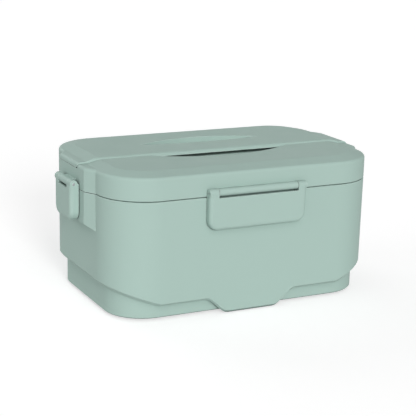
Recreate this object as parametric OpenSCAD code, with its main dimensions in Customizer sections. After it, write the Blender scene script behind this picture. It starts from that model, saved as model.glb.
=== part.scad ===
// Heated lunch box: casing, lift-off lid with a folding half-plate handle,
// four drop latches, and a heated well that holds a steel food container.
// Origin: centre of the footprint, on the surface that the feet stand on. +Z is up,
// the wide latch seen first is on -Y, and the mains inlet is on the +X end.

/* [Casing] */
// Length of the casing, less the bosses on its ends
body_l = 232; // [215:1:260]
// Width of the casing, front to back
body_w = 150; // [135:1:175]
// Radius of the four upright corners, in plan
corner_r = 38; // [30:1:44]
// Height of the seam between body and lid
seam_z = 95; // [90:0.5:110]
// Wall of the outer mouldings
wall = 2.4; // [2:0.1:3]
// How much the casing narrows on each side, seam to foot
draft = 0.6; // [0.2:0.1:1]
// Raised boss on each end: half its width at the casing
pad_half = 36; // [32:0.5:36.5]
// Raised boss on each end: half the width of its flat face
pad_face = 26; // [24:0.5:28]
// Raised boss on each end: how far it stands out
pad_out = 5.5; // [4:0.1:6.5]
// Raised boss on each end: height of its lower edge
pad_z = 66.5; // [60:0.5:68]
// Raised boss on each end: how far its lower edge slopes up
pad_rise = 3.5; // [2:0.1:4.5]

/* [Plinth] */
// How far the plinth is set in under the casing
plinth_in = 6.6; // [5.5:0.1:8]
// Height of the plinth's lower edge above the surface
plinth_z = 2.2; // [1.6:0.1:3]
// Height of the casing's lower edge, front and back
sill_z = 13; // [11:0.5:15]
// Rise of the casing's lower edge towards the ends, per mm of length
sill_slope = 0.35; // [0.2:0.01:0.4]
// Centre tab on that edge: half its width at the foot
tab_foot = 20; // [14:0.5:24]
// Centre tab on that edge: half its width where it meets the edge
tab_top = 39.5; // [34:0.5:46]
// Gap under the centre tab
tab_z = 0.6; // [0.4:0.1:1.2]
// Bevel along the casing's lower edge
sill_bevel = 2; // [1:0.1:2.4]

/* [Lid] */
// Gap between body and lid
seam_gap = 0.5; // [0.3:0.1:0.8]
// Height of the lid's front flat above the seam
lid_h = 21.2; // [20:0.1:24]
// Rounding where the lid's wall meets its crown
rim_r = 2.5; // [1.5:0.1:3]
// Width of the sloping band inside the rim
crown_run = 10.5; // [8:0.5:12]
// Fall of the sloping band
crown_drop = 2.4; // [1.5:0.1:3]
// Top wall of the lid
lid_skin = 2.2; // [1.8:0.1:2.6]
// Finger recess in the lid: half its length
recess_half = 62; // [56:1:66]
// Finger recess in the lid: how far its curved side bows forward
recess_bow = 18.8; // [15:0.2:21]
// Finger recess in the lid: depth below the front flat
recess_d = 12.7; // [10:0.1:13]

/* [Handle] */
// Front edge of the handle, measured from the middle, towards the back
handle_y = -12; // [-14:0.5:-8]
// Thickness of the handle at its rim
handle_t = 6.5; // [6:0.1:7]
// How far the handle stands above the lid's front flat
handle_rise = 1.1; // [0.8:0.1:1.4]
// Wall of the handle's hollow underside
handle_wall = 2.4; // [2:0.1:3]
// Grip opening: half its length
grip_half = 54; // [48:1:58]
// Grip opening: distance of its straight side from the handle's front edge
grip_from = 34; // [30:0.5:36]
// Grip opening: how far its back edge bows back
grip_bow = 15; // [12:0.5:18]
// Grip opening: how far its front edge bows forward
grip_front = 5; // [3:0.5:7]
// Thickness left over the finger recess
edge_t = 2.7; // [2.5:0.1:3.2]
// Pivot pin diameter
hinge_pin_d = 2; // [1.6:0.1:2.2]
// Play between the handle and the lid
handle_gap = 0.4; // [0.3:0.05:0.6]

/* [Latches] */
// Width of the front and back latches
latch_w = 84; // [70:1:90]
// Width of the two end latches
end_latch_w = 34; // [28:1:38]
// Distance from latch pin to the latch's foot
latch_drop = 29.3; // [26:0.1:31]
// Distance of the front and back latch pins from the casing
latch_reach = 3.6; // [3.5:0.1:4]
// Distance of the end latch pins from the end bosses
end_reach = 4.6; // [3.6:0.1:5]
// Width of each latch ear
ear_w = 7.5; // [6:0.1:8]
// Latch wall
latch_wall = 2.2; // [1.8:0.1:2.6]
// Latch pin diameter
latch_pin_d = 2; // [1.8:0.1:2.4]
// Height of the latch pins above the seam
latch_pin_up = 4.3; // [4:0.1:5]
// Radius of the lid's hinge barrels
barrel_r = 3; // [2.6:0.1:3.2]
// Rounding of a latch's outer edges
latch_round = 3; // [1.5:0.1:3]
// Gap between a latch's plate and its pin
slot_down = 3.8; // [3.7:0.1:5]
// Corner radius at the foot of a latch
latch_corner = 8; // [5:0.5:9]
// How far the catch ribs stand out
catch_out = 1.8; // [1.6:0.1:2.4]

/* [Inside] */
// Wall of the heated well
well_wall = 1.8; // [1.5:0.1:2.2]
// Distance of the well's outer face from the casing's outer face
well_in = 8.5; // [8.2:0.1:9.5]
// Height of the underside of the well's floor
well_z = 22; // [20:0.5:24]
// Height of the well's rim below the seam
rim_down = 2.5; // [2:0.1:4]
// Sheet thickness of the food container
steel_t = 0.8; // [0.6:0.1:1]
// Gap between the container and the well
container_gap = 1.2; // [0.8:0.1:2]
// Length of the heating plate
plate_l = 150; // [130:1:160]
// Width of the heating plate
plate_w = 92; // [80:1:96]
// Clearance of parts that drop into each other
fit = 0.3; // [0.2:0.05:0.4]

/* [Hidden] */
$fn = 48;
a = body_l / 2;
b = body_w / 2;
cy = b - corner_r;
cx = a - corner_r;

lid_z0 = seam_z + seam_gap;
flat_z = seam_z + lid_h;
crown_z = flat_z - crown_drop;
wall_top = crown_z - rim_r;
band_in = rim_r + crown_run;
top_z = flat_z + handle_rise;
pocket_z = top_z - handle_t - fit;
recess_z = flat_z - recess_d;
axis_y = handle_y + handle_t / 2;
axis_z = top_z - handle_t / 2;
lug_x = a - 14.5;
lug_w = 5.4;
lug_r = handle_t / 2 - 1;
lug_neck = 2.4;
lug_gap = 0.3;

rim_z = seam_z - rim_down;
floor_z = well_z + well_wall;
well_r = 4;
seal_t = 1.2;
plate_t = 2.3;
plate_r = 14;
plate_z = floor_z + seal_t + plate_t;
boss_l = plate_l - 26;
boss_w = plate_w - 22;
boss_r = 8;
boss_z = well_z - 1;
heater_l = 104;
heater_w = 24;
heater_t = 5;
heater_y = 19;
heater_z = boss_z - heater_t;
strap_x = 35;
strap_t = 1;
strap_w = 12;
cont_in = well_in + well_wall + container_gap;
cont_r = 5.6;
cont_lip = wall + 3;
base_t = 2.2;
base_top = plinth_z + base_t;
gasket_h = 2.5;
cont_rim = rim_z + steel_t;
liner_z = cont_rim + gasket_h;
liner_t = 1.8;
liner_lip = 2.2;
lip_in = cont_in + steel_t + 1.2;
plug_x = 62;
plug_y = -30;
plug_r = 2.5;
screw_r = 1.5;
head_r = 2.8;
head_t = 1.6;
drive_d = 0.6;
lid_screw_r = 1.2;
lid_head_r = 2.6;
// Depth of every swept section that a slab fills in the middle, and their overlap
core_in = 24;
core_lap = 4;
front_axis = b + latch_reach;
end_axis = a + pad_out + end_reach;
pin_z = seam_z + latch_pin_up;
post_r = 4;
post_step = 5;
post_x = 84;
post_y = b - 33;
lid_posts = [for (x = [-80, 0, 80], y = [-1, 1]) [x, y * (b - 18.5)]];
foot_x = 80;
foot_y = b - 22;
foot_r = 7;
foot_stem_r = 3;
inlet_z = 12.6;
inlet_w = 22;
inlet_h = 13;
inlet_d = 15;
pin_y = 4.3;
inlet_pin_r = 1.2;
lamp_y = 19;
lamp_r = 2.5;
vent_w = 2.4;
vent_l = 40;
vent_pitch = 7;

sage = [0.67, 0.77, 0.74];
sage_top = [0.58, 0.68, 0.64];
pale = [0.88, 0.89, 0.87];
steel = [0.78, 0.79, 0.8];
dark = [0.16, 0.17, 0.17];
rubber = [0.35, 0.38, 0.37];
brass = [0.78, 0.66, 0.36];

function smooth(t) = t <= 0 ? 0 : t >= 1 ? 1 : t * t * (3 - 2 * t);

// Height of the casing's lower edge at x: level, rising at the corners
function sill(x) = sill_z + sill_slope * max(0, abs(x) - cx);

// The same edge with the centre tab
function skirt(x) = abs(x) > tab_top ? sill(x)
    : tab_z + (sill_z - tab_z) * smooth((abs(x) - tab_foot) / (tab_top - tab_foot));

// Points of an arc
function arc(c, r, a0, a1, n) =
    [for (i = [0:n]) let (t = a0 + (a1 - a0) * i / n) c + r * [cos(t), sin(t)]];

// Places along the straight sides where the tab bends
side_x = concat([for (i = [0:8]) tab_top - (tab_top - tab_foot) * i / 8],
                [for (i = [8:-1:0]) -tab_top + (tab_top - tab_foot) * i / 8]);

// Outline of the casing in plan, moved in by d
function plan_points(d) =
    let (r = corner_r - d)
    concat(arc([cx, cy], r, 0, 90, 12),
           [for (x = side_x) [x, b - d]],
           arc([-cx, cy], r, 90, 180, 12),
           arc([-cx, -cy], r, 180, 270, 12),
           [for (x = side_x) [-x, d - b]],
           arc([cx, -cy], r, 270, 360, 12));

// Plain slab with the casing's outline, moved in by d, between two heights
module slab(d, z0, z1) {
    translate([0, 0, z0])
        linear_extrude(height = z1 - z0)
            polygon(plan_points(d));
}

// Slab that fills the middle of a swept section
module core(z0, z1) {
    slab(core_in - core_lap, z0, z1);
}

// Sweep a profile round the casing: x is the distance outside the outline, y is up
module swept() {
    for (m = [0, 1])
        mirror([m, 0, 0]) {
            translate([a, cy, 0])
                rotate([90, 0, 0])
                    linear_extrude(height = 2 * cy)
                        children();
            for (n = [0, 1])
                mirror([0, n, 0])
                    translate([cx, cy, 0])
                        rotate_extrude(angle = 90)
                            translate([corner_r, 0])
                                children();
        }
    for (n = [0, 1])
        mirror([0, n, 0])
            translate([-cx, b, 0])
                rotate([90, 0, 90])
                    linear_extrude(height = 2 * cx)
                        children();
}

// Prism along Y over the whole width, from points in x and z
module across(points, y0, y1) {
    translate([0, y1, 0])
        rotate([90, 0, 0])
            linear_extrude(height = y1 - y0)
                polygon(points);
}

// Rounded rectangle, centred
module round_rect(l, w, r) {
    square([l - 2 * r, w], center = true);
    square([l, w - 2 * r], center = true);
    for (x = [-1, 1], y = [-1, 1])
        translate([x * (l / 2 - r), y * (w / 2 - r)])
            circle(r = r);
}

// Segment of a circle: chord on y = 0 from -half to half, bowing to -bow
module segment(half, bow) {
    r = (half * half + bow * bow) / (2 * bow);
    intersection() {
        translate([0, r - bow])
            circle(r = r, $fn = 120);
        translate([-half - 1, -bow - 1])
            square([2 * half + 2, bow + 1]);
    }
}

// Everything below the casing's bevelled lower edge, as one ring
module skirt_cutter() {
    d_in = wall + draft + 3;
    ring = [[-1, sill_bevel + 1 + draft], [draft + sill_bevel, 0], [d_in, 0]];
    n = len(plan_points(0));
    outer_low = [for (p = plan_points(-1)) [p.x, p.y, -3]];
    outer_up = [for (p = plan_points(-1)) [p.x, p.y, skirt(p.x) + ring[0].y]];
    bevel_in = [for (p = plan_points(ring[1].x)) [p.x, p.y, skirt(p.x)]];
    inner_up = [for (p = plan_points(d_in)) [p.x, p.y, skirt(p.x)]];
    inner_low = [for (p = plan_points(d_in)) [p.x, p.y, -3]];
    rings = concat(outer_low, outer_up, bevel_in, inner_up, inner_low);
    polyhedron(points = rings, faces = [
        for (k = [0:4], i = [0:n - 1])
            let (j = (i + 1) % n, k2 = (k + 1) % 5)
                each [[k * n + i, k2 * n + i, k2 * n + j],
                      [k * n + i, k2 * n + j, k * n + j]]
    ]);
}

// Plan of the raised boss on the +X end, reaching in by depth
module pad_plan(depth) {
    polygon([[a - depth, -pad_half], [a, -pad_half], [a + pad_out, -pad_face],
             [a + pad_out, pad_face], [a, pad_half], [a - depth, pad_half]]);
}

// Raised boss on the +X end of the body, sloped below
module body_pad() {
    intersection() {
        translate([0, 0, pad_z])
            linear_extrude(height = seam_z - pad_z)
                pad_plan(wall - 0.4);
        across([[a - wall - 1, pad_z - 1], [a - pad_out, pad_z - pad_rise],
                [a + 2 * pad_out, pad_z + 2 * pad_rise],
                [a + 2 * pad_out, seam_z + 1], [a - wall - 1, seam_z + 1]], -b, b);
    }
}

// Section across the rim of a boss from z0 up: x is out, y is up
function rim_edge(z0, up) = concat([[-b, z0 - 1], [0, z0 - 1]],
    arc([-rim_r, wall_top + up], rim_r, 0, 76, 5),
    [[-rim_r, crown_z + up], [-b, crown_z + up]]);

// Everything inside the slanting side of a boss, at its +Y end
module boss_side(z0, up) {
    translate([a, pad_half, 0])
        rotate(atan2(pad_out, pad_half - pad_face))
            rotate([90, 0, 0])
                linear_extrude(height = 2 * b, center = true)
                    polygon(rim_edge(z0, up));
}

// Raised boss on the +X end of the lid or handle, with a rounded rim
module rim_pad(z0, up) {
    top = crown_z + up;
    intersection() {
        union() {
            translate([0, 0, z0])
                linear_extrude(height = top - z0)
                    pad_plan(wall - 0.4);
            translate([0, 0, top - 1.2])
                linear_extrude(height = 1.2)
                    pad_plan(wall + 1);
        }
        translate([a + pad_out, b, 0])
            rotate([90, 0, 0])
                linear_extrude(height = 2 * b)
                    polygon(rim_edge(z0, up));
        boss_side(z0, up);
        mirror([0, 1, 0])
            boss_side(z0, up);
    }
}

// Lens: tips on y = 0 at x = -half and half, bowing to back and to -front
module lens(half, back, front) {
    r_back = (half * half + back * back) / (2 * back);
    r_front = (half * half + front * front) / (2 * front);
    intersection() {
        translate([0, back - r_back])
            circle(r = r_back, $fn = 180);
        translate([0, r_front - front])
            circle(r = r_front, $fn = 360);
    }
}

module body_shell() color(sage) difference() {
    ledge_z = rim_z - 2;
    union() {
        swept() polygon([
            [-draft, 0], [0, seam_z - 0.6], [-0.6, seam_z], [-wall, seam_z],
            [-wall, ledge_z], [-wall - 2.6, ledge_z], [-wall - 2.6, ledge_z - 1.5],
            [-wall, ledge_z - 5], [-wall - draft, 0]]);
        for (m = [0, 1])
            mirror([m, 0, 0])
                body_pad();
        for (m = [0, 1])
            mirror([0, m, 0])
                catch_rib(latch_w - 24, b);
        for (m = [0, 1])
            mirror([m, 0, 0])
                rotate(90)
                    catch_rib(end_latch_w - 14, a + pad_out);
    }
    skirt_cutter();
}

// Rib that a latch snaps under, on a face at -y = face
module catch_rib(length, face) {
    z_hook = pin_z - 21.3;
    translate([-length / 2, 0, 0])
        rotate([90, 0, 90])
            linear_extrude(height = length)
                polygon([[-face + 1, z_hook], [-face - catch_out, z_hook],
                         [-face - catch_out, z_hook + 1], [-face + 1, z_hook + 5]]);
}

module base_cover() color(sage) difference() {
    lip = 3;
    union() {
        intersection() {
            swept() polygon([
                [-plinth_in, plinth_z + 1], [-plinth_in, 60], [fit - well_in, 60],
                [fit - well_in, well_z - 1], [-plinth_in - base_t, well_z - 2],
                [-plinth_in - base_t, base_top], [-core_in, base_top], [-core_in, plinth_z],
                [-plinth_in - 1, plinth_z]]);
            across([[-a, 0], [a, 0], [a, sill(a) + lip], [cx, sill_z + lip],
                    [-cx, sill_z + lip], [-a, sill(a) + lip]], -b, b);
        }
        intersection() {
            swept() polygon([
                [-wall - draft - fit, 5], [-wall - draft - fit, 60],
                [-plinth_in - 1, 60], [-plinth_in - 1, 5]]);
            across([[-a, sill(a) + 0.4], [-cx, sill_z + 0.4], [cx, sill_z + 0.4],
                    [a, sill(a) + 0.4], [a, sill(a) + lip], [cx, sill_z + lip],
                    [-cx, sill_z + lip], [-a, sill(a) + lip]], -b, b);
        }
        core(plinth_z, base_top);
        for (x = [-1, 1], y = [-1, 1])
            translate([x * post_x, y * post_y, plinth_z])
                cylinder(r = post_r + 1.6, h = post_step);
    }
    for (x = [-1, 1], y = [-1, 1]) {
        translate([x * post_x, y * post_y, -1]) {
            cylinder(r = screw_r + 0.2, h = 20);
            cylinder(r = head_r + 0.4, h = plinth_z + 3);
        }
        translate([x * foot_x, y * foot_y, 0])
            cylinder(r = foot_stem_r + 0.05, h = 20);
    }
    for (i = [-5:5])
        translate([i * vent_pitch, 0, 0])
            cube([vent_w, vent_l, 20], center = true);
    translate([a - 12, -inlet_w / 2 - 0.2, inlet_z - inlet_h / 2 - 0.2])
        cube([20, inlet_w + 0.4, inlet_h + 0.4]);
    translate([a - 12, lamp_y, inlet_z])
        rotate([0, 90, 0])
            cylinder(r = lamp_r + 0.05, h = 20);
}

module base_feet() color(rubber)
    for (x = [-1, 1], y = [-1, 1])
        translate([x * foot_x, y * foot_y, 0])
            rotate_extrude()
                polygon([[0, 0], [foot_r - 1, 0], [foot_r, 1], [foot_r, plinth_z],
                         [foot_stem_r, plinth_z], [foot_stem_r, base_top],
                         [foot_stem_r + 0.8, base_top], [foot_stem_r, base_top + 1.6],
                         [0, base_top + 1.6]]);

// Screw up the Z axis with the underside of its head on z = 0
module screw(r, head, length) {
    rotate_extrude()
        polygon([[0, drive_d - head_t], [drive_d, -head_t], [head, -head_t], [head, 0],
                 [r, 0], [r, length - r / 2], [0, length]]);
}

module base_screws() color(steel)
    for (x = [-1, 1], y = [-1, 1])
        translate([x * post_x, y * post_y, plinth_z + 2])
            screw(screw_r, head_r, 10.4);

module heated_well() color(pale) difference() {
    union() {
        swept() polygon([
            [-wall - 0.4, rim_z - 2], [-wall - 0.4, rim_z],
            [-well_in - well_wall, rim_z], [-well_in - well_wall, floor_z + well_r],
            [-well_in - well_wall - well_r, floor_z], [-core_in, floor_z],
            [-core_in, well_z], [-well_in - well_r, well_z], [-well_in, well_z + well_r],
            [-well_in, rim_z - 2]]);
        core(well_z, floor_z);
        for (x = [-1, 1], y = [-1, 1])
            translate([x * post_x, y * post_y, plinth_z + post_step])
                cylinder(r = post_r, h = well_z + 1 - plinth_z - post_step);
    }
    translate([0, 0, well_z - 5])
        linear_extrude(height = 20)
            round_rect(boss_l + 2 * fit, boss_w + 2 * fit, boss_r + fit);
    for (x = [-1, 1], y = [-1, 1])
        translate([x * post_x, y * post_y, 0])
            cylinder(r = screw_r, h = 18);
}

module heating_plate() color("silver") difference() {
    union() {
        translate([0, 0, floor_z + seal_t])
            linear_extrude(height = plate_t)
                round_rect(plate_l, plate_w, plate_r);
        translate([0, 0, boss_z])
            linear_extrude(height = floor_z + seal_t - boss_z + 0.5)
                round_rect(boss_l, boss_w, boss_r);
    }
    for (x = [-1, 1])
        translate([x * strap_x, 0, boss_z - 1])
            cylinder(r = screw_r, h = 4);
}

module plate_seal() color(rubber)
    translate([0, 0, floor_z])
        linear_extrude(height = seal_t)
            difference() {
                round_rect(plate_l - 1, plate_w - 1, plate_r - 0.5);
                round_rect(boss_l + 4, boss_w + 4, boss_r + 2);
            }

module ptc_heaters() color("gainsboro")
    for (y = [-1, 1])
        translate([0, y * heater_y, heater_z])
            linear_extrude(height = heater_t)
                round_rect(heater_l, heater_w, 2);

module heater_straps() color(steel) {
    half = heater_y + heater_w / 2 - 1;
    for (x = [-1, 1])
        translate([x * strap_x, 0, heater_z - strap_t])
            difference() {
                translate([-strap_w / 2, -half, 0])
                    cube([strap_w, 2 * half, strap_t]);
                translate([0, 0, -1])
                    cylinder(r = screw_r + 0.2, h = 4);
            }
}

module strap_screws() color(steel)
    for (x = [-1, 1])
        translate([x * strap_x, 0, heater_z - strap_t])
            screw(screw_r, head_r, heater_t + strap_t + 2.6);

module thermostat() color(dark)
    translate([0, 0, boss_z - 4])
        linear_extrude(height = 4)
            round_rect(20, 7.5, 1.5);

module thermal_fuse() color("whitesmoke")
    translate([-29, 0, boss_z - 2.1])
        rotate([0, 90, 0])
            rotate_extrude()
                polygon([[0, 0], [0.5, 0], [0.5, 2], [1.4, 2], [2.1, 3], [2.1, 13],
                         [1.4, 14], [0.5, 14], [0.5, 16], [0, 16]]);

module power_inlet() color(dark) difference() {
    face = a - plinth_in;
    flange = 2;
    union() {
        translate([face - inlet_d, -inlet_w / 2, inlet_z - inlet_h / 2])
            cube([inlet_d - 0.4, inlet_w, inlet_h]);
        translate([face - base_t - 2.5, -inlet_w / 2 - flange, inlet_z - inlet_h / 2])
            cube([1.6, inlet_w + 2 * flange, inlet_h]);
    }
    translate([face - 11, 0, inlet_z])
        rotate([90, 0, 90])
            linear_extrude(height = 20)
                round_rect(17, 8.4, 4.1);
    for (y = [-1, 1])
        translate([face - inlet_d - 1, y * pin_y, inlet_z])
            rotate([0, 90, 0])
                cylinder(r = inlet_pin_r + 0.02, h = inlet_d);
}

module inlet_pins() color(brass) {
    l = inlet_d + 2.6;
    for (y = [-1, 1])
        translate([a - plinth_in - inlet_d - 4, y * pin_y, inlet_z])
            rotate([0, 90, 0])
                rotate_extrude()
                    polygon([[0, 0], [inlet_pin_r, 0], [inlet_pin_r, l - 0.6],
                             [inlet_pin_r - 0.5, l], [0, l]]);
}

module indicator_lens() color("tomato")
    translate([a - plinth_in - base_t - 2.5, lamp_y, inlet_z])
        rotate([0, 90, 0])
            rotate_extrude()
                polygon([[0, 0], [lamp_r + 0.9, 0], [lamp_r + 0.9, 1.6], [lamp_r, 1.6],
                         [lamp_r, base_t + 2.2], [lamp_r - 0.9, base_t + 2.8],
                         [0, base_t + 2.9]]);

module terminal_block() color("ivory")
    translate([70, -24, base_top])
        difference() {
            translate([-10, -7, 0])
                cube([20, 14, 10]);
            for (x = [-5, 5]) {
                translate([x, 0, 5])
                    rotate([90, 0, 0])
                        cylinder(r = 1.6, h = 30, center = true);
                translate([x, 0, 6])
                    cylinder(r = 1.8, h = 10);
            }
        }

module food_container() color(steel) union() {
    inner = cont_in + steel_t;
    swept() polygon([
        [-cont_lip, rim_z], [-cont_lip, cont_rim], [-inner, cont_rim],
        [-inner, plate_z + cont_r + 0.4], [-inner - cont_r + 0.4, plate_z + steel_t],
        [-core_in, plate_z + steel_t], [-core_in, plate_z], [-cont_in - cont_r, plate_z],
        [-cont_in, plate_z + cont_r], [-cont_in, rim_z]]);
    core(plate_z, plate_z + steel_t);
}

module lid_top() {
    swept() polygon(concat(
        [[-0.6, lid_z0], [0, lid_z0 + 0.6]],
        arc([-rim_r, wall_top], rim_r, 0, 76, 5),
        [[-band_in, flat_z], [-core_in, flat_z], [-core_in, flat_z - lid_skin],
         [-band_in, flat_z - lid_skin], [-wall - 1, wall_top - 0.5], [-wall, wall_top - 2],
         [-wall, lid_z0]]));
    core(flat_z - lid_skin, flat_z);
}

// The part of the plan behind y, between two heights
module behind(y, z0, z1) {
    translate([-a - 10, y, z0])
        cube([2 * a + 20, b + 20, z1 - z0]);
}

// Straight-sided part of the finger recess, under the handle's front edge
module recess_well(grow) {
    translate([-recess_half + 5 - grow, handle_y - handle_gap - 0.5])
        square([2 * (recess_half - 5 + grow), 9 + grow]);
}

module recess_shape() {
    translate([0, handle_y - handle_gap])
        segment(recess_half, recess_bow);
    recess_well(0);
}

module lid_shell() color(sage_top) difference() {
    union() {
        difference() {
            union() {
                lid_top();
                for (m = [0, 1])
                    mirror([m, 0, 0])
                        rim_pad(lid_z0, 0);
            }
            behind(handle_y - handle_gap, pocket_z, flat_z + 10);
        }
        intersection() {
            slab(wall - 0.6, pocket_z - lid_skin, pocket_z);
            behind(handle_y - handle_gap - lid_skin, pocket_z - lid_skin, pocket_z);
        }
        intersection() {
            slab(wall - 0.6, pocket_z - lid_skin, flat_z - 3);
            translate([-a, handle_y - handle_gap - lid_skin, 0])
                cube([2 * a, lid_skin, 200]);
        }
        translate([0, 0, recess_z - lid_skin]) {
            linear_extrude(height = flat_z - 1 - recess_z + lid_skin)
                translate([0, handle_y - handle_gap])
                    segment(recess_half + 2, recess_bow + 2);
            linear_extrude(height = pocket_z - 0.5 - recess_z + lid_skin)
                recess_well(2);
        }
        for (m = [0, 1])
            mirror([0, m, 0])
                barrel(latch_w, b, latch_reach);
        for (m = [0, 1])
            mirror([m, 0, 0])
                rotate(90)
                    barrel(end_latch_w, a + pad_out, end_reach);
        for (m = [0, 1])
            mirror([m, 0, 0])
                handle_lug();
        for (p = lid_posts)
            translate([p.x, p.y, liner_z + liner_t])
                cylinder(r = 3.6, h = (p.y > 0 ? pocket_z : flat_z) - liner_z - liner_t - 1);
    }
    translate([0, 0, recess_z])
        linear_extrude(height = 40)
            recess_shape();
    for (m = [0, 1])
        mirror([0, m, 0])
            barrel_bore(latch_w, b, latch_reach);
    for (m = [0, 1])
        mirror([m, 0, 0])
            rotate(90)
                barrel_bore(end_latch_w, a + pad_out, end_reach);
    for (m = [0, 1])
        mirror([m, 0, 0])
            translate([lug_x - 10, axis_y, axis_z])
                rotate([0, 90, 0])
                    cylinder(r = hinge_pin_d / 2 + 0.06, h = 20);
    for (p = lid_posts)
        translate([p.x, p.y, liner_z])
            cylinder(r = lid_screw_r, h = 9);
}

// Hinge barrel of a latch on the lid, on a face at -y = face
module barrel(width, face, reach) {
    l = width - 2 * ear_w - 0.8;
    y = face + reach;
    translate([-l / 2, 0, 0]) {
        translate([0, -y, pin_z])
            rotate([0, 90, 0])
                cylinder(r = barrel_r, h = l);
        translate([0, -y, pin_z - 2.4])
            cube([l, y - face + 1, 4.8]);
    }
}

module barrel_bore(width, face, reach) {
    translate([-width / 2, -face - reach, pin_z])
        rotate([0, 90, 0])
            cylinder(r = latch_pin_d / 2 + 0.02, h = width);
}

// Lug that carries the handle's pivot pin
module handle_lug() {
    translate([lug_x - lug_w / 2, axis_y, 0]) {
        translate([0, 0, axis_z])
            rotate([0, 90, 0])
                cylinder(r = lug_r, h = lug_w);
        translate([0, -lug_neck / 2, pocket_z - 1])
            cube([lug_w, lug_neck, axis_z - pocket_z + 1]);
    }
}

module lid_liner() color(pale) difference() {
    union() {
        swept() polygon([
            [-wall - fit, liner_z], [-wall - fit, liner_z + liner_t],
            [-core_in, liner_z + liner_t], [-core_in, liner_z], [-lip_in - 1.8, liner_z],
            [-lip_in - 1.8, liner_z - liner_lip], [-lip_in, liner_z - liner_lip],
            [-lip_in, liner_z]]);
        core(liner_z, liner_z + liner_t);
    }
    for (p = lid_posts)
        translate([p.x, p.y, liner_z - 5])
            cylinder(r = lid_screw_r + 0.5, h = 20);
    translate([plug_x, plug_y, liner_z - 5])
        cylinder(r = plug_r, h = 20);
}

module lid_gasket() color(rubber)
    swept() polygon([
        [-cont_lip - 0.6, cont_rim], [-cont_lip - 0.6, liner_z],
        [-lip_in + 0.4, liner_z], [-lip_in + 0.4, liner_z - 1],
        [-cont_in - steel_t + 1, cont_rim]]);

module lid_screws() color(steel)
    for (p = lid_posts)
        translate([p.x, p.y, liner_z])
            screw(lid_screw_r, lid_head_r, 8);

module steam_plug() color(rubber)
    translate([plug_x, plug_y, liner_z])
        rotate_extrude()
            polygon([[0, -2], [plug_r + 1.7, -2], [plug_r + 2.5, 0], [plug_r, 0],
                     [plug_r, liner_t], [plug_r + 1.5, liner_t],
                     [plug_r + 1.9, liner_t + 1.6], [0, liner_t + 1.6]]);

// Handle: rear half of the lid's outline, hollow below, with a rounded front edge
module carry_handle() color(sage_top) difference() {
    z0 = top_z - handle_t;
    up = handle_rise;
    front = handle_y + handle_t / 2;
    union() {
        intersection() {
            union() {
                swept() polygon(concat(
                    [[0, z0]],
                    arc([-rim_r, wall_top + up], rim_r, 0, 76, 5),
                    [[-band_in, top_z], [-core_in, top_z], [-core_in, top_z - handle_wall],
                     [-band_in, top_z - handle_wall],
                     [-handle_wall - 0.6, wall_top + up - 0.6], [-handle_wall, z0]]));
                core(top_z - handle_wall, top_z);
                for (m = [0, 1])
                    mirror([m, 0, 0])
                        rim_pad(z0, up);
            }
            behind(front, z0 - 1, top_z + 1);
        }
        intersection() {
            translate([-a - 10, front, axis_z])
                rotate([0, 90, 0])
                    cylinder(r = handle_t / 2, h = 2 * a + 20);
            union() {
                swept() polygon(concat(
                    [[0, z0]],
                    arc([-rim_r, wall_top + up], rim_r, 0, 76, 5),
                    [[-band_in, top_z + 1], [-core_in, top_z + 1], [-core_in, z0]]));
                core(z0, top_z + 1);
                for (m = [0, 1])
                    mirror([m, 0, 0])
                        rim_pad(z0, up);
            }
        }
        translate([0, handle_y + grip_from, z0])
            linear_extrude(height = handle_t - 1)
                lens(grip_half + 5, grip_bow + 2.2, grip_front + 2.2);
    }
    translate([0, handle_y + grip_from, z0 - 1])
        linear_extrude(height = handle_t + 5)
            lens(grip_half, grip_bow, grip_front);
    translate([3 - recess_half, handle_y - 1, z0 - 1])
        cube([2 * recess_half - 6, 14, handle_t - edge_t + 1]);
    for (m = [0, 1])
        mirror([m, 0, 0]) {
            translate([lug_x - lug_w / 2 - lug_gap, axis_y, axis_z])
                rotate([0, 90, 0])
                    cylinder(r = lug_r + lug_gap, h = lug_w + 2 * lug_gap);
            translate([lug_x - lug_w / 2 - lug_gap, axis_y - 8, z0 - 1])
                cube([lug_w + 2 * lug_gap, 8 + lug_gap + lug_neck / 2,
                      handle_t / 2 + 1 + lug_gap + lug_neck / 2]);
            translate([lug_x - 8, axis_y, axis_z])
                rotate([0, 90, 0])
                    cylinder(r = hinge_pin_d / 2 + 0.02, h = 16);
        }
}

module handle_pins() color(steel)
    for (m = [0, 1])
        mirror([m, 0, 0])
            translate([lug_x - 7.5, axis_y, axis_z])
                rotate([0, 90, 0])
                    cylinder(r = hinge_pin_d / 2, h = 15);

// Outline of a latch below its ears: x across, y up, foot at -latch_drop
module latch_outline(width, d) {
    w = width - 2 * d;
    r = latch_corner - d;
    translate([0, -latch_drop + d + r])
        round_rect(w, 2 * r, r - 0.01);
    translate([-w / 2, -latch_drop + d + r])
        square([w, latch_drop - d - r]);
}

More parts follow.
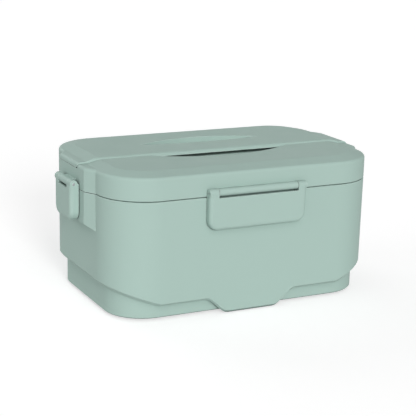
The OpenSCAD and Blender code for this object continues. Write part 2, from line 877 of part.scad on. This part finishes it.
// A latch about its pin: pin along x through the origin, outer face towards -y
module latch(width, reach) color(sage) {
    out = barrel_r + 0.1;
    back = reach - 0.6;
    gap_w = width - 2 * ear_w;
    hook_y = reach - catch_out - 0.3;
    difference() {
        union() {
            intersection() {
                hull()
                    for (t = [0:22.5:90]) {
                        depth = latch_round * (1 - sin(t));
                        translate([0, back, 0])
                            rotate([90, 0, 0])
                                linear_extrude(height = out + back - depth)
                                    latch_outline(width, latch_round * (1 - cos(t)));
                    }
                translate([-width, -20, -60])
                    cube([2 * width, 40, 60]);
            }
            translate([-width / 2, 0, 0])
                rotate([0, 90, 0])
                    cylinder(r = out, h = width);
        }
        difference() {
            translate([0, back + 1, 0])
                rotate([90, 0, 0])
                    linear_extrude(height = out + back - latch_wall + 1)
                        latch_outline(width, latch_wall);
            for (m = [0, 1])
                mirror([m, 0, 0])
                    translate([width / 2 - ear_w, -10, -8])
                        cube([ear_w, 20, 20]);
        }
        translate([-gap_w / 2, -20, -slot_down])
            cube([gap_w, 40, 20]);
        translate([-width, 0, 0])
            rotate([0, 90, 0])
                cylinder(r = latch_pin_d / 2 + 0.08, h = 2 * width);
    }
    translate([-gap_w / 2 + 3, 0, 0])
        rotate([90, 0, 90])
            linear_extrude(height = gap_w - 6)
                polygon([[-out + 1, -26], [hook_y - 1, -24.5], [hook_y, -23.5],
                         [hook_y, -22], [-out + 1, -22]]);
}

module front_latch()
    translate([0, -front_axis, pin_z])
        latch(latch_w, latch_reach);

module rear_latch()
    translate([0, front_axis, pin_z])
        rotate(180)
            latch(latch_w, latch_reach);

module left_latch()
    translate([-end_axis, 0, pin_z])
        rotate(-90)
            latch(end_latch_w, end_reach);

module right_latch()
    translate([end_axis, 0, pin_z])
        rotate(90)
            latch(end_latch_w, end_reach);

module latch_pins() color(steel) {
    for (m = [0, 1])
        mirror([0, m, 0])
            translate([-latch_w / 2 + 0.5, -front_axis, pin_z])
                rotate([0, 90, 0])
                    cylinder(r = latch_pin_d / 2, h = latch_w - 1);
    for (m = [0, 1])
        mirror([m, 0, 0])
            translate([-end_axis, -end_latch_w / 2 + 0.5, pin_z])
                rotate([-90, 0, 0])
                    cylinder(r = latch_pin_d / 2, h = end_latch_w - 1);
}

body_shell();
base_cover();
base_feet();
base_screws();
heated_well();
heating_plate();
plate_seal();
ptc_heaters();
heater_straps();
strap_screws();
thermostat();
thermal_fuse();
power_inlet();
inlet_pins();
indicator_lens();
terminal_block();
food_container();
lid_shell();
lid_liner();
lid_gasket();
lid_screws();
steam_plug();
carry_handle();
handle_pins();
front_latch();
rear_latch();
left_latch();
right_latch();
latch_pins();
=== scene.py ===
import math

import bpy
from mathutils import Matrix, Vector

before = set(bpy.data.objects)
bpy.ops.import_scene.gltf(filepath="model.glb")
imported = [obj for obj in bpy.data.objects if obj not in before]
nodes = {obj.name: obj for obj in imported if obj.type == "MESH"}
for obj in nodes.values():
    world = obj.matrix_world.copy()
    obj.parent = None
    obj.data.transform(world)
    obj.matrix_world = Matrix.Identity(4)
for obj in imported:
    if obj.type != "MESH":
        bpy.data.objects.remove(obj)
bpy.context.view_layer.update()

# The CAD nodes that each finish covers
FINISHES = {
    "sage": ("body_shell", "base_cover", "lid_shell", "carry_handle",
             "front_latch", "rear_latch", "left_latch", "right_latch"),
    "pale": ("heated_well", "lid_liner"),
    "dark": ("power_inlet", "thermostat"),
    "silicone": ("base_feet", "plate_seal", "lid_gasket", "steam_plug"),
    "steel": ("food_container", "heater_straps", "base_screws", "strap_screws",
              "lid_screws", "handle_pins", "latch_pins"),
    "alloy": ("heating_plate", "ptc_heaters"),
    "brass": ("inlet_pins",),
    "ceramic": ("terminal_block", "thermal_fuse"),
    "lens": ("indicator_lens",),
}


# ---------------------------------------------------------------- camera

FRAME_PX = 416
SENSOR_MM = 36
VIEW_END = 20


def direction(azimuth, elevation):
    """Unit vector from the box towards a place round it; azimuth 0 is its front."""
    az, el = math.radians(azimuth), math.radians(elevation)
    return Vector((math.sin(az) * math.cos(el), -math.cos(az) * math.cos(el), math.sin(el)))


def camera_from_photo(azimuth, elevation, roll, distance, focal_px, target):
    """Camera at the photograph's angle, whose frame is FRAME_PX square."""
    back = direction(azimuth, elevation)
    az, ro = math.radians(azimuth), math.radians(roll)
    right = Vector((math.cos(az), math.sin(az), 0))
    up = back.cross(right)
    right, up = (math.cos(ro) * right + math.sin(ro) * up,
                 math.cos(ro) * up - math.sin(ro) * right)
    data = bpy.data.cameras.new("photo_camera")
    data.sensor_width = SENSOR_MM
    data.sensor_fit = "HORIZONTAL"
    data.lens = SENSOR_MM * focal_px / FRAME_PX
    data.clip_end = VIEW_END
    cam = bpy.data.objects.new("photo_camera", data)
    place = Matrix((right, up, back)).transposed().to_4x4()
    place.translation = Vector(target) + back * distance
    cam.matrix_world = place
    bpy.context.scene.collection.objects.link(cam)
    bpy.context.scene.camera = cam


# ---------------------------------------------------------------- node helpers

FLOAT, VECTOR, COLOUR = "NodeSocketFloat", "NodeSocketVector", "NodeSocketColor"
NOISE_MIDDLE = 0.5
WHITE = (1, 1, 1, 1)


def new_group(name, inputs, outputs):
    """A shader node group with named float, colour or vector sockets."""
    group = bpy.data.node_groups.new(name, "ShaderNodeTree")
    for label, kind, value in inputs:
        socket = group.interface.new_socket(label, in_out="INPUT", socket_type=kind)
        socket.default_value = value
    for label, kind in outputs:
        group.interface.new_socket(label, in_out="OUTPUT", socket_type=kind)
    return group, group.nodes.new("NodeGroupInput"), group.nodes.new("NodeGroupOutput")


def feed(tree, socket, value):
    """Give a socket a plain value, or link another node's output to it."""
    if isinstance(value, bpy.types.NodeSocket):
        tree.links.new(value, socket)
    else:
        socket.default_value = value


def noise(tree, vector, scale, detail=2.0, rough=0.5):
    node = tree.nodes.new("ShaderNodeTexNoise")
    node.inputs["Detail"].default_value = detail
    node.inputs["Roughness"].default_value = rough
    feed(tree, node.inputs["Vector"], vector)
    feed(tree, node.inputs["Scale"], scale)
    return node.outputs["Fac"]


def math_node(tree, operation, first, second, clamp=False):
    node = tree.nodes.new("ShaderNodeMath")
    node.operation = operation
    node.use_clamp = clamp
    feed(tree, node.inputs[0], first)
    feed(tree, node.inputs[1], second)
    return node.outputs[0]


def weighed(tree, first, first_share, second, second_share):
    """Sum of two values, each times its share."""
    return math_node(tree, "ADD", math_node(tree, "MULTIPLY", first, first_share),
                     math_node(tree, "MULTIPLY", second, second_share))


def map_range(tree, value, low, high, to_low, to_high):
    node = tree.nodes.new("ShaderNodeMapRange")
    for label, bound in (("Value", value), ("From Min", low), ("From Max", high),
                         ("To Min", to_low), ("To Max", to_high)):
        feed(tree, node.inputs[label], bound)
    return node.outputs["Result"]


def mix_colour(tree, factor, first, second, blend="MIX"):
    """Colour mix; a Mix node's factor and two colours are its sockets 0, 6 and 7."""
    node = tree.nodes.new("ShaderNodeMix")
    node.data_type = "RGBA"
    node.blend_type = blend
    for place, value in ((0, factor), (6, first), (7, second)):
        feed(tree, node.inputs[place], value)
    return node.outputs[2]


# ---------------------------------------------------------------- shader groups

def build_tone():
    """Slow drift of a moulded colour, as pigment and handling leave it."""
    group, given, out = new_group(
        "pigment_drift",
        [("Vector", VECTOR, (0, 0, 0)), ("Colour", COLOUR, WHITE), ("Amount", FLOAT, 0.05)],
        [("Colour", COLOUR)])
    where = given.outputs["Vector"]
    broad = noise(group, where, scale=11.0, detail=3.0)
    small = noise(group, where, scale=150.0)
    both = weighed(group, broad, 0.7, small, 0.3)
    drift = math_node(group, "MULTIPLY", math_node(group, "SUBTRACT", both, NOISE_MIDDLE),
                      given.outputs["Amount"])
    shade = group.nodes.new("ShaderNodeHueSaturation")
    feed(group, shade.inputs["Color"], given.outputs["Colour"])
    feed(group, shade.inputs["Value"], math_node(group, "ADD", drift, 1.0))
    feed(group, out.inputs["Colour"], shade.outputs["Color"])
    return group


def build_grain():
    """Fine spark-eroded grain with a slower ripple, and an uneven roughness."""
    ripple_part = 0.04
    group, given, out = new_group(
        "mould_grain",
        [("Vector", VECTOR, (0, 0, 0)), ("Scale", FLOAT, 1600.0),
         ("Roughness", FLOAT, 0.5), ("Spread", FLOAT, 0.08)],
        [("Height", FLOAT), ("Roughness", FLOAT)])
    where, scale, middle = (given.outputs[k] for k in ("Vector", "Scale", "Roughness"))
    fine = noise(group, where, scale)
    ripple = noise(group, where, math_node(group, "MULTIPLY", scale, ripple_part), detail=1.0)
    smudge = noise(group, where, scale=34.0, detail=4.0, rough=0.6)
    feed(group, out.inputs["Height"], weighed(group, fine, 0.55, ripple, 0.45))
    half = math_node(group, "MULTIPLY", given.outputs["Spread"], 0.5)
    low = math_node(group, "SUBTRACT", middle, half)
    high = math_node(group, "ADD", middle, half)
    feed(group, out.inputs["Roughness"],
         map_range(group, smudge, low=0.3, high=0.7, to_low=low, to_high=high))
    return group


def build_highlight_mask():
    """Mask of edges that get a painted highlight, broken up by a noise."""
    group, given, out = new_group(
        "painted_edge_highlight",
        [("Vector", VECTOR, (0, 0, 0)), ("Radius", FLOAT, 0.0009)],
        [("Mask", FLOAT)])
    bevel = group.nodes.new("ShaderNodeBevel")
    bevel.samples = 4
    feed(group, bevel.inputs["Radius"], given.outputs["Radius"])
    geometry = group.nodes.new("ShaderNodeNewGeometry")
    turn = group.nodes.new("ShaderNodeVectorMath")
    turn.operation = "DOT_PRODUCT"
    feed(group, turn.inputs[0], bevel.outputs["Normal"])
    feed(group, turn.inputs[1], geometry.outputs["Normal"])
    away = math_node(group, "SUBTRACT", 1.0, turn.outputs["Value"])
    edge = map_range(group, away, low=0.02, high=0.2, to_low=0.0, to_high=1.0)
    spots = noise(group, given.outputs["Vector"], scale=90.0, detail=3.0)
    patchy = map_range(group, spots, low=0.35, high=0.65, to_low=0.3, to_high=1.0)
    feed(group, out.inputs["Mask"], math_node(group, "MULTIPLY", edge, patchy, clamp=True))
    return group


def build_gap():
    """Mask of narrow gaps and creases for painted shade, full where hardly any light reaches.
    """
    group, given, out = new_group("gap_shade", [("Depth", FLOAT, 0.003)], [("Mask", FLOAT)])
    cover = group.nodes.new("ShaderNodeAmbientOcclusion")
    cover.samples = 8
    feed(group, cover.inputs["Distance"], given.outputs["Depth"])
    feed(group, out.inputs["Mask"],
         map_range(group, cover.outputs["AO"], low=0.12, high=0.42, to_low=1.0, to_high=0.0))
    return group


def build_brushing():
    """Brushed lines along x, with the roughness and tone that they give."""
    line_part, smear_part = 0.16, 0.12
    group, given, out = new_group(
        "brushed_lines",
        [("Vector", VECTOR, (0, 0, 0)), ("Roughness", FLOAT, 0.3)],
        [("Height", FLOAT), ("Roughness", FLOAT), ("Tone", FLOAT)])
    stretch = group.nodes.new("ShaderNodeMapping")
    stretch.inputs["Scale"].default_value = (0.02, 1.0, 1.0)
    feed(group, stretch.inputs["Vector"], given.outputs["Vector"])
    lines = noise(group, stretch.outputs["Vector"], scale=2600.0, detail=3.0, rough=0.6)
    smear = noise(group, given.outputs["Vector"], scale=40.0, detail=3.0)
    feed(group, out.inputs["Height"], lines)
    uneven = math_node(group, "SUBTRACT", weighed(group, lines, line_part, smear, smear_part),
                       NOISE_MIDDLE * (line_part + smear_part))
    feed(group, out.inputs["Roughness"],
         math_node(group, "ADD", uneven, given.outputs["Roughness"]))
    feed(group, out.inputs["Tone"],
         map_range(group, lines, low=0.3, high=0.7, to_low=0.93, to_high=1.04))
    return group


TONE, GRAIN, HIGHLIGHT_MASK = build_tone(), build_grain(), build_highlight_mask()
GAP, BRUSHING = build_gap(), build_brushing()


# ---------------------------------------------------------------- materials

# Painted highlight colour for edges; painted shade colour, reach and amount for gaps.
PAINTED_HIGHLIGHT_COLOUR = (0.80, 0.88, 0.85, 1.0)
PAINTED_SHADE_COLOUR = (0.03, 0.05, 0.045, 1.0)
GAP_DEPTH = 0.008
PAINTED_SHADE_AMOUNT = 0.75


def linear(red, green, blue):
    """An 8-bit display colour as Blender's linear colour."""
    def one(v):
        v /= 255
        return v / 12.92 if v <= 0.04045 else ((v + 0.055) / 1.055) ** 2.4
    return (one(red), one(green), one(blue), 1.0)


def placed(tree, group, vector, **values):
    """A group's node in a material, with its own values."""
    node = tree.nodes.new("ShaderNodeGroup")
    node.node_tree = group
    if "Vector" in node.inputs:
        feed(tree, node.inputs["Vector"], vector)
    for label, value in values.items():
        node.inputs[label].default_value = value
    return node


def start_material(name):
    material = bpy.data.materials.new(name)
    material.use_nodes = True
    tree = material.node_tree
    where = tree.nodes.new("ShaderNodeTexCoord").outputs["Object"]
    return material, tree, tree.nodes["Principled BSDF"], where


def bump(tree, shader, height, depth):
    node = tree.nodes.new("ShaderNodeBump")
    node.inputs["Distance"].default_value = depth
    feed(tree, node.inputs["Height"], height)
    feed(tree, shader.inputs["Normal"], node.outputs["Normal"])


def moulded(name, colour, roughness, depth, drift=0.05, scale=1600.0, painted_light=0.0,
            specular=0.5, coat=0.0):
    """Plastic, rubber or ceramic with its grain and colour drift.

    With painted light, its edges get a painted pale highlight and its gaps painted dark shade."""
    material, tree, shader, where = start_material(name)
    tone = placed(tree, TONE, where, Colour=colour, Amount=drift)
    grain = placed(tree, GRAIN, where, Scale=scale, Roughness=roughness, Spread=0.1)
    surface = tone.outputs["Colour"]
    if painted_light:
        # Painted highlight: edges are mixed towards a pale colour.
        edge = placed(tree, HIGHLIGHT_MASK, where)
        painted_edge_light = math_node(tree, "MULTIPLY", edge.outputs["Mask"], painted_light)
        surface = mix_colour(tree, painted_edge_light, surface, PAINTED_HIGHLIGHT_COLOUR)
        # Painted shade: gaps and creases are darkened by an occlusion mask.
        gap = placed(tree, GAP, where, Depth=GAP_DEPTH)
        painted_gap_shade = math_node(tree, "MULTIPLY", gap.outputs["Mask"], PAINTED_SHADE_AMOUNT)
        surface = mix_colour(tree, painted_gap_shade, surface, PAINTED_SHADE_COLOUR)
    feed(tree, shader.inputs["Base Color"], surface)
    feed(tree, shader.inputs["Roughness"], grain.outputs["Roughness"])
    shader.inputs["Specular IOR Level"].default_value = specular
    shader.inputs["Coat Weight"].default_value = coat
    bump(tree, shader, grain.outputs["Height"], depth)
    return material


def metal(name, colour, roughness, depth, brushed=True, scale=900.0):
    """Bare metal, brushed along x or with a cast grain."""
    material, tree, shader, where = start_material(name)
    shader.inputs["Metallic"].default_value = 1.0
    if brushed:
        finish = placed(tree, BRUSHING, where, Roughness=roughness)
        surface = mix_colour(tree, 1.0, colour, finish.outputs["Tone"], "MULTIPLY")
    else:
        tone = placed(tree, TONE, where, Colour=colour, Amount=0.12)
        finish = placed(tree, GRAIN, where, Scale=scale, Roughness=roughness, Spread=0.16)
        surface = tone.outputs["Colour"]
    feed(tree, shader.inputs["Base Color"], surface)
    feed(tree, shader.inputs["Roughness"], finish.outputs["Roughness"])
    bump(tree, shader, finish.outputs["Height"], depth)
    return material


MATERIALS = {
    # The sage plastic carries the painted edge highlight and the painted gap shade.
    "sage": moulded("sage_plastic", linear(162, 185, 177), roughness=0.5, depth=0.00003,
                    drift=0.03, scale=1500.0, painted_light=0.40, specular=0.06),
    "pale": moulded("pale_plastic", linear(222, 224, 219), roughness=0.42, depth=0.00002,
                    drift=0.03, scale=1500.0),
    "dark": moulded("dark_plastic", linear(38, 39, 40), roughness=0.5, depth=0.00004,
                    drift=0.1, scale=1300.0),
    "silicone": moulded("grey_silicone", linear(122, 132, 128), roughness=0.62, depth=0.00004,
                        drift=0.06, scale=1100.0, specular=0.35),
    "ceramic": moulded("ivory_ceramic", linear(231, 225, 208), roughness=0.36, depth=0.00003,
                       drift=0.06, scale=700.0),
    "steel": metal("brushed_steel", linear(200, 202, 204), roughness=0.27, depth=0.000006),
    "alloy": metal("cast_aluminium", linear(205, 207, 208), roughness=0.42, depth=0.00005,
                   brushed=False),
    "brass": metal("plain_brass", linear(205, 172, 96), roughness=0.24, depth=0.00001,
                   brushed=False, scale=1500.0),
    "lens": moulded("red_lens", linear(190, 40, 30), roughness=0.16, depth=0.000008,
                    drift=0.04, scale=500.0, specular=0.6, coat=0.6),
}

for finish, names in FINISHES.items():
    for name in names:
        for holder in nodes[name].material_slots:
            holder.material = MATERIALS[finish]


# ---------------------------------------------------------------- studio

LAMP_DISTANCE = 2
FLOOR_SIZE = 10
FLOOR_BOUNCE = (0.70, 0.70, 0.70, 1)


def far_lamp(name, azimuth, elevation, level, spread):
    """Broad far lamp; level is what it adds to a white face turned to it."""
    towards = direction(azimuth, elevation)
    lamp = bpy.data.lights.new(name, "SUN")
    lamp.energy = level * math.pi
    lamp.angle = math.radians(spread)
    holder = bpy.data.objects.new(name, lamp)
    holder.location = towards * LAMP_DISTANCE
    holder.rotation_euler = towards.to_track_quat("Z", "Y").to_euler()
    bpy.context.scene.collection.objects.link(holder)


def seen_directly(tree):
    """1 for what the camera, a reflection or a see-through piece looks at."""
    path = tree.nodes.new("ShaderNodeLightPath").outputs
    seen = math_node(tree, "MAXIMUM", path["Is Camera Ray"], path["Is Glossy Ray"])
    return math_node(tree, "MAXIMUM", seen, path["Is Transmission Ray"])


def studio_world(strength):
    """White surroundings that light the box at their own, lower strength."""
    world = bpy.data.worlds.new("studio")
    world.use_nodes = True
    tree = world.node_tree
    light = tree.nodes["Background"]
    light.inputs["Color"].default_value = WHITE
    feed(tree, light.inputs["Strength"],
         map_range(tree, seen_directly(tree), low=0.0, high=1.0, to_low=strength, to_high=1.0))
    bpy.context.scene.world = world


def white_floor(shade, glow):
    """Plain white floor that keeps a pale shadow: what looks at it sees its glow too."""
    bpy.ops.mesh.primitive_plane_add(size=FLOOR_SIZE, location=(0, 0, 0))
    floor = bpy.context.object
    floor.name = "floor"
    material = bpy.data.materials.new("floor_white")
    material.use_nodes = True
    tree = material.node_tree
    shader = tree.nodes["Principled BSDF"]
    shader.inputs["Specular IOR Level"].default_value = 0.0
    shader.inputs["Roughness"].default_value = 0.9
    shader.inputs["Emission Color"].default_value = WHITE
    seen = seen_directly(tree)
    feed(tree, shader.inputs["Emission Strength"],
         map_range(tree, seen, low=0.0, high=1.0, to_low=0.0, to_high=glow))
    feed(tree, shader.inputs["Base Color"],
         mix_colour(tree, seen, FLOOR_BOUNCE, (shade, shade, shade, 1)))
    floor.data.materials.append(material)


camera_from_photo(azimuth=-26.976, elevation=14.643, roll=1.459, distance=0.9521,
                  focal_px=1234.2, target=(-0.03048, -0.05513, 0.08117))
far_lamp("low_front", azimuth=-10, elevation=17, level=0.66, spread=14)
far_lamp("high_front", azimuth=-8, elevation=42, level=0.18, spread=30)
far_lamp("back", azimuth=196, elevation=26, level=0.24, spread=40)
far_lamp("left_fill", azimuth=-95, elevation=12, level=0.25, spread=50)
studio_world(strength=0.25)
white_floor(shade=0.60, glow=0.575)

bpy.context.scene.view_settings.view_transform = "Standard"
